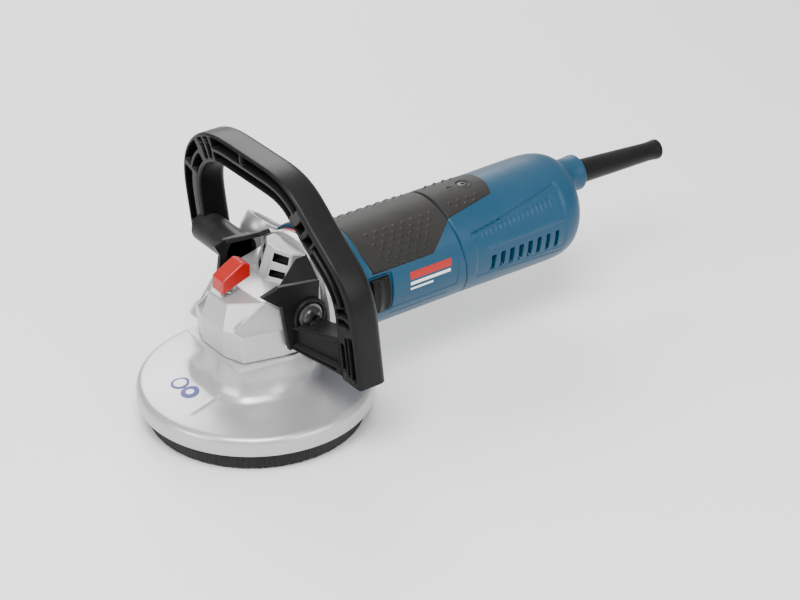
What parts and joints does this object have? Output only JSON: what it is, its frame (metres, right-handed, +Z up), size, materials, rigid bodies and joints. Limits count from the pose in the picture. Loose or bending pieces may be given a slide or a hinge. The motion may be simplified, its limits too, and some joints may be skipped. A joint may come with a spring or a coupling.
{
  "type": "surface grinder",
  "caption": "Corded concrete surface grinder: angle-grinder drive with a D-handle, dust hood with floating brush ring, dust port and cup wheel.",
  "frame": {"origin": "centre of the spindle's lower end face, on the spindle's axis", "axes": "+Z up along the spindle, +X rearwards along the motor towards the cable, +Y the tool's right side"},
  "size_m": [0.4149, 0.186, 0.1775],
  "materials": {
    "cast_silver": "satin painted light-metal casting",
    "body_blue": "fine-textured glass-filled nylon",
    "black_plastic": "satin moulded",
    "soft_grip": "soft overmould",
    "red_plastic": "smooth moulded",
    "steel": "machined",
    "dark_steel": "machined",
    "laminations": "stacked sheets",
    "copper": "enamelled wire",
    "brass": "stamped",
    "bristles": "dense nylon bristles",
    "wheel": "machined cup with diamond segments"
  },
  "bodies": {
    "tool_body": {"air_ring": "red_plastic", "bearing_flange": "cast_silver", "bearing_seat": "cast_silver", "bolt_washer_left": "steel", "bolt_washer_right": "steel", "brush_bridge": "black_plastic", "brush_holder_left": "brass", "brush_holder_right": "brass", "cable_clamp": "black_plastic", "cable_sleeve": "black_plastic", "carbon_brush_left": "laminations", "carbon_brush_right": "laminations", "cover_screw_bottom": "steel", "cover_screw_top": "steel", "dust_hood": "cast_silver", "dust_port": "cast_silver", "electronics": "black_plastic", "field_coil_left": "copper", "field_coil_right": "copper", "front_handle": "black_plastic", "gear_housing": "cast_silver", "grip_pad_front": "soft_grip", "grip_pad_rear": "soft_grip", "handle_bolt_left": "dark_steel", "handle_bolt_right": "dark_steel", "head_screw_1": "steel", "head_screw_2": "steel", "head_screw_3": "steel", "head_screw_4": "steel", "label_plate": "body_blue", "lock_spring": "steel", "motor_bearing_front": "steel", "motor_bearing_rear": "steel", "motor_housing": "body_blue", "rear_cover": "body_blue", "spindle_bearing_low": "steel", "spindle_bearing_top": "steel", "stator_core": "laminations", "switch_unit": "black_plastic", "wave_spring": "steel"},
    "spindle_unit": {"spindle": "steel", "crown_gear": "dark_steel", "inner_flange": "steel", "cup_wheel": "wheel", "lock_nut": "steel"},
    "armature": {"armature_shaft": "steel", "drive_pinion": "dark_steel", "armature_core": "laminations", "commutator": "copper", "fan": "black_plastic"},
    "lock_button": {"spindle_lock_button": "red_plastic", "lock_pin": "steel"},
    "switch": {"slide_switch": "black_plastic", "switch_rod": "black_plastic"},
    "brush": {"brush_ring": "bristles", "brush_holder": "black_plastic"}
  },
  "joints": [
    {"name": "spindle_spin", "type": "hinge", "parent": "tool_body", "child": "spindle_unit", "pos_m": [0, 0, 0], "axis": [0, 0, 1], "continuous": true},
    {"name": "armature_spin", "type": "hinge", "parent": "tool_body", "child": "armature", "pos_m": [0, 0, 0.0693], "axis": [1, 0, 0], "continuous": true},
    {"name": "lock_button_press", "type": "slide", "parent": "tool_body", "child": "lock_button", "axis": [0, 0, -1], "range_m": [0, 0.004], "stiffness_N_per_m": 900, "springref_m": -0.004, "deforming": ["lock_spring"]},
    {"name": "switch_slide", "type": "slide", "parent": "tool_body", "child": "switch", "axis": [-1, 0, 0], "range_m": [0, 0.006]},
    {"name": "brush_float", "type": "slide", "parent": "tool_body", "child": "brush", "axis": [0, 0, 1], "range_m": [0, 0.0025], "stiffness_N_per_m": 8000, "springref_m": -0.009, "deforming": ["wave_spring"]}
  ],
  "couplings": [
    {"joint": "armature_spin", "follows": "spindle_spin", "ratio": 3.2}
  ]
}
